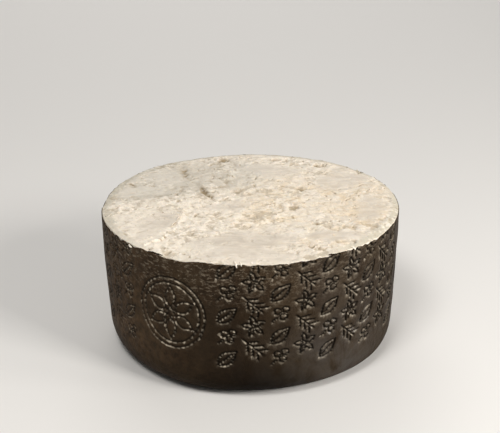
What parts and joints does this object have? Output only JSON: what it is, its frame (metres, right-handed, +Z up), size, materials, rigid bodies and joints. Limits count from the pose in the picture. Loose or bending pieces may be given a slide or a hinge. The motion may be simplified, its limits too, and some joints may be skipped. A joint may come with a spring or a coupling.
{
  "type": "half wheel of pecorino romano",
  "caption": "Half wheel of hard sheep's milk cheese on its flat end, its black rind pressed with rosettes and leaves, broken across so that the pale crumbly paste shows.",
  "frame": {"origin": "middle of the flat foot that the half wheel stands on", "axes": "+Z up along the wheel's axis, -Y towards the side seen first, +X to its right"},
  "size_m": [0.2999, 0.3, 0.1452],
  "materials": {
    "paste": "pale ivory cheese paste, broken and scraped, matt and slightly moist",
    "rind": "brown-black satin coating over a pricked rind"
  },
  "bodies": {
    "root": {"half_wheel": "paste"}
  },
  "joints": []
}
